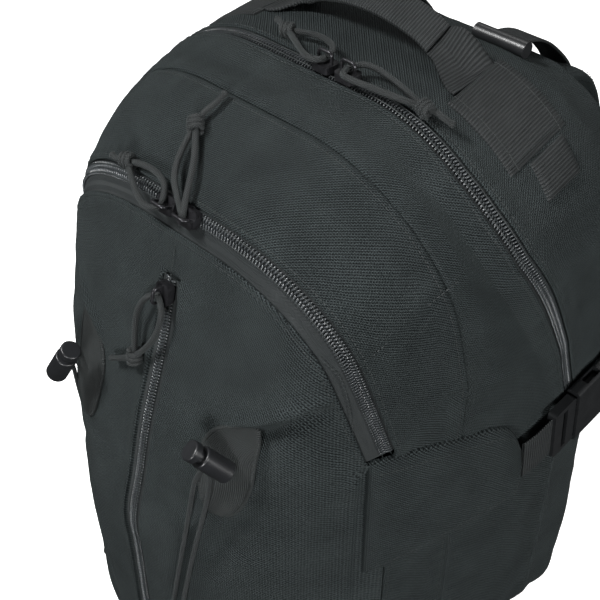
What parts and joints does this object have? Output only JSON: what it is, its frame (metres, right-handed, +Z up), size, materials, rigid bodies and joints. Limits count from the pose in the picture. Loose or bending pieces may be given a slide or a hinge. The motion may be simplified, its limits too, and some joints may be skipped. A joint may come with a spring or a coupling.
{
  "type": "trauma backpack",
  "caption": "Stuffed emergency medical backpack with zipped compartments, webbing, side-release buckles, cord locks, shoulder straps and a folded waist belt.",
  "frame": {"origin": "on the floor plane, in the middle of the pack's width, where the bottom sheet rests", "axes": "+Z up, +X to the wearer's right seen from the pocket side, +Y towards the wearer's back, -Y out of the front pocket"},
  "size_m": [0.3626, 0.3877, 0.524],
  "materials": {
    "body_fabric": "coarse polyester oxford twill with a soft sheen",
    "base_fabric": "heavier coated oxford fabric",
    "zip_tape": "herringbone tape with a nylon coil",
    "slider_metal": "black enamelled zinc",
    "paracord": "braided cord sheath",
    "webbing": "ribbed nylon webbing",
    "buckle_plastic": "satin moulded acetal",
    "strap_padding": "oxford cover over foam",
    "back_mesh": "three-layer spacer mesh",
    "frame_plastic": "stiff sheet",
    "lining": "thin coated lining",
    "lock_plastic": "satin moulded acetal",
    "spring_steel": "spring wire",
    "elastic_cord": "braided cover over elastic",
    "tab_trim": "ribbed trim with stitched edge"
  },
  "bodies": {
    "pack": {"back_pads": "back_mesh", "base_panel": "base_fabric", "belt_anchor_tabs": "body_fabric", "centre_zip_tape": "zip_tape", "compression_wings": "body_fabric", "cord_lock_barrels": "lock_plastic", "cord_lock_spring_left": "spring_steel", "cord_lock_spring_right": "spring_steel", "cord_tabs": "tab_trim", "frame_sheet": "frame_plastic", "front_gusset": "body_fabric", "front_pocket": "body_fabric", "front_zip_tape": "zip_tape", "handle_ends": "webbing", "hydration_sleeve": "lining", "load_lifter_rollers": "buckle_plastic", "load_lifter_webbing": "webbing", "loop_tabs": "webbing", "lower_strap_webbing": "webbing", "main_zip_tape": "zip_tape", "middle_panel": "body_fabric", "organiser_panel": "lining", "rear_compartment": "body_fabric", "rear_compression_straps": "webbing", "shock_cord_anchors": "webbing", "shock_cord_left": "elastic_cord", "shock_cord_right": "elastic_cord", "shoulder_strap_left": "strap_padding", "shoulder_strap_right": "strap_padding", "side_buckle_females": "buckle_plastic", "sternum_buckle_female": "buckle_plastic", "sternum_webbing_left": "webbing", "strap_adjusters": "buckle_plastic", "webbing_patches": "webbing"},
    "main_slider_left": {"main_zip_slider_left": "slider_metal", "main_zip_pull_left": "paracord"},
    "main_slider_right": {"main_zip_slider_right": "slider_metal", "main_zip_pull_right": "paracord"},
    "front_slider_left": {"front_zip_slider_left": "slider_metal", "front_zip_pull_left": "paracord"},
    "front_slider_right": {"front_zip_slider_right": "slider_metal", "front_zip_pull_right": "paracord"},
    "centre_slider": {"centre_zip_slider": "slider_metal", "centre_zip_pull": "paracord"},
    "lock_button_left": {"cord_lock_button_left": "lock_plastic"},
    "lock_button_right": {"cord_lock_button_right": "lock_plastic"},
    "side_plug_left": {"side_buckle_male_left": "buckle_plastic", "compression_webbing_left": "webbing"},
    "side_plug_right": {"side_buckle_male_right": "buckle_plastic", "compression_webbing_right": "webbing"},
    "sternum_plug": {"sternum_buckle_male": "buckle_plastic", "sternum_webbing_right": "webbing"},
    "belt_wing_left": {"waist_wing_left": "strap_padding", "waist_webbing_left": "webbing", "waist_buckle_male": "buckle_plastic"},
    "belt_wing_right": {"waist_wing_right": "strap_padding", "waist_webbing_right": "webbing", "waist_buckle_female": "buckle_plastic"},
    "handle": {"grab_handle": "webbing"}
  },
  "joints": [
    {"name": "main_zip_left_slide", "type": "slide", "parent": "pack", "child": "main_slider_left", "axis": [-1, 0, 0], "range_m": [0, 0.05]},
    {"name": "main_zip_right_slide", "type": "slide", "parent": "pack", "child": "main_slider_right", "axis": [1, 0, 0], "range_m": [0, 0.022]},
    {"name": "front_zip_left_slide", "type": "slide", "parent": "pack", "child": "front_slider_left", "axis": [-1, 0, 0], "range_m": [0, 0.022]},
    {"name": "front_zip_right_slide", "type": "slide", "parent": "pack", "child": "front_slider_right", "axis": [1, 0, 0], "range_m": [0, 0.022]},
    {"name": "centre_zip_slide", "type": "slide", "parent": "pack", "child": "centre_slider", "axis": [0, -0.2979, -0.9546], "range_m": [0, 0.09]},
    {"name": "lock_button_right_press", "type": "slide", "parent": "pack", "child": "lock_button_right", "axis": [0.376, 0.54, -0.753], "range_m": [0, 0.004], "stiffness_N_per_m": 400},
    {"name": "lock_button_left_press", "type": "slide", "parent": "pack", "child": "lock_button_left", "axis": [-0.4899, -0.15, -0.8588], "range_m": [0, 0.004], "stiffness_N_per_m": 400},
    {"name": "side_buckle_right_release", "type": "slide", "parent": "pack", "child": "side_plug_right", "axis": [0, -0.9903, -0.1392], "range_m": [0, 0.028]},
    {"name": "side_buckle_left_release", "type": "slide", "parent": "pack", "child": "side_plug_left", "axis": [0, -0.9903, -0.1392], "range_m": [0, 0.028]},
    {"name": "sternum_buckle_release", "type": "slide", "parent": "pack", "child": "sternum_plug", "axis": [1, 0, 0], "range_m": [0, 0.022]},
    {"name": "belt_wing_right_swing", "type": "hinge", "parent": "pack", "child": "belt_wing_right", "pos_m": [0.128, 0.123, 0.067], "axis": [0, 0, -1], "range_deg": [0, 165]},
    {"name": "belt_wing_left_swing", "type": "hinge", "parent": "pack", "child": "belt_wing_left", "pos_m": [-0.128, 0.123, 0.067], "axis": [0, 0, 1], "range_deg": [0, 165]},
    {"name": "handle_flop", "type": "hinge", "parent": "pack", "child": "handle", "pos_m": [0, 0.016, 0.494], "axis": [1, 0, 0], "range_deg": [-28, 26], "stiffness_Nm_per_rad": 0.06}
  ]
}
